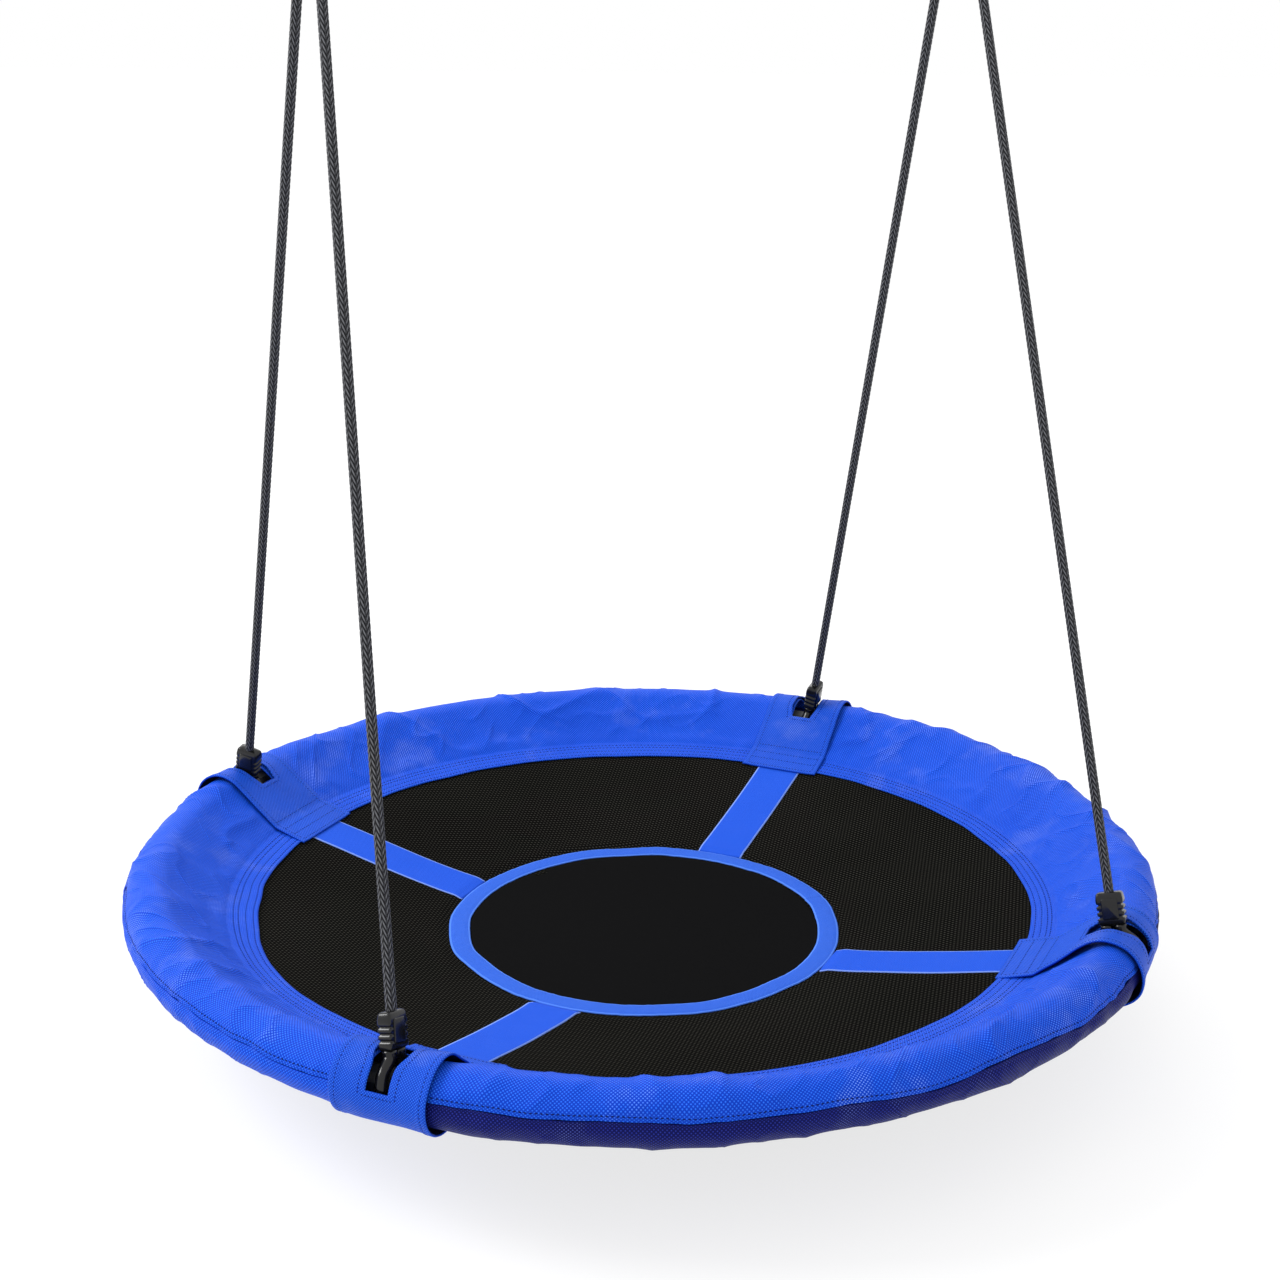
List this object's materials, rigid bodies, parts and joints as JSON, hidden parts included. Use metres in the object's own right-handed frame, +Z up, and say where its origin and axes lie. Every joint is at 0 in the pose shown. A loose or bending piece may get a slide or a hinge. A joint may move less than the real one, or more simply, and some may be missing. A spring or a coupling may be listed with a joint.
{
  "type": "saucer nest swing",
  "caption": "Round nest swing: a padded ring with a sagging mesh seat, hung at its corners on ropes that meet in steel rings.",
  "frame": {"origin": "midway between the two steel rings, on the swing's axis, which runs through the lowest point of both rings", "axes": "+Z up; X along the swing axis, from the left ring to the right one; -Y is the front"},
  "size_m": [0.9998, 0.9998, 1.1555],
  "materials": {
    "zinc_steel": "satin",
    "ring_steel": "polished",
    "grey_foam": "matte",
    "blue_cloth": "matte",
    "navy_cloth": "matte",
    "black_mesh": "matte",
    "black_cloth": "matte",
    "blue_webbing": "matte",
    "black_rope": "matte",
    "black_hose": "gloss",
    "black_plastic": "satin"
  },
  "bodies": {
    "hang_rings": {"steel_ring_left": "ring_steel", "steel_ring_right": "ring_steel"},
    "rope_heads": {"top_hose_left": "black_hose", "top_rope_loop_left": "black_rope", "top_clamp_left": "black_plastic", "top_hose_right": "black_hose", "top_rope_loop_right": "black_rope", "top_clamp_right": "black_plastic"},
    "left_ropes": {"rope_front_left": "black_rope", "rope_back_left": "black_rope"},
    "right_ropes": {"rope_front_right": "black_rope", "rope_back_right": "black_rope"},
    "seat": {"frame_tube_right": "zinc_steel", "frame_tube_back": "zinc_steel", "frame_tube_left": "zinc_steel", "frame_tube_front": "zinc_steel", "frame_screw_front_right": "zinc_steel", "frame_screw_back_right": "zinc_steel", "frame_screw_back_left": "zinc_steel", "frame_screw_front_left": "zinc_steel", "foam_right": "grey_foam", "foam_back": "grey_foam", "foam_left": "grey_foam", "foam_front": "grey_foam", "cover_top_right": "blue_cloth", "cover_top_back": "blue_cloth", "cover_top_left": "blue_cloth", "cover_top_front": "blue_cloth", "cover_under_left": "blue_cloth", "hang_patch_front_right": "blue_cloth", "hang_patch_back_right": "blue_cloth", "hang_patch_back_left": "blue_cloth", "hang_patch_front_left": "blue_cloth", "cover_under_right": "navy_cloth", "cover_under_back": "navy_cloth", "cover_under_front": "navy_cloth", "seat_mesh": "black_mesh", "centre_patch": "black_cloth", "centre_tape": "blue_webbing", "strap_front_right": "blue_webbing", "strap_back_right": "blue_webbing", "strap_back_left": "blue_webbing", "strap_front_left": "blue_webbing", "lower_rope_loop_front_right": "black_rope", "lower_rope_loop_back_right": "black_rope", "lower_rope_loop_back_left": "black_rope", "lower_rope_loop_front_left": "black_rope", "lower_hose_front_right": "black_hose", "lower_hose_back_right": "black_hose", "lower_hose_back_left": "black_hose", "lower_hose_front_left": "black_hose", "lower_clamp_front_right": "black_plastic", "lower_clamp_back_right": "black_plastic", "lower_clamp_back_left": "black_plastic", "lower_clamp_front_left": "black_plastic"}
  },
  "joints": [
    {"name": "swing", "type": "hinge", "parent": "hang_rings", "child": "rope_heads", "pos_m": [0, 0, 0], "axis": [1, 0, 0], "range_deg": [-45, 45]},
    {"name": "side_sway", "type": "hinge", "parent": "rope_heads", "child": "left_ropes", "pos_m": [-0.3, 0, -0.0856], "axis": [0, 1, 0], "range_deg": [-12, 12]},
    {"name": "right_rope_sway", "type": "hinge", "parent": "rope_heads", "child": "right_ropes", "pos_m": [0.3, 0, -0.0856], "axis": [0, 1, 0], "range_deg": [-12, 12]},
    {"name": "seat_level", "type": "hinge", "parent": "left_ropes", "child": "seat", "pos_m": [-0.3324, 0, -0.97462], "axis": [0, 1, 0], "range_deg": [-12, 12]}
  ],
  "couplings": [
    {"joint": "right_rope_sway", "follows": "side_sway", "ratio": 1},
    {"joint": "seat_level", "follows": "side_sway", "ratio": -0.9025}
  ]
}
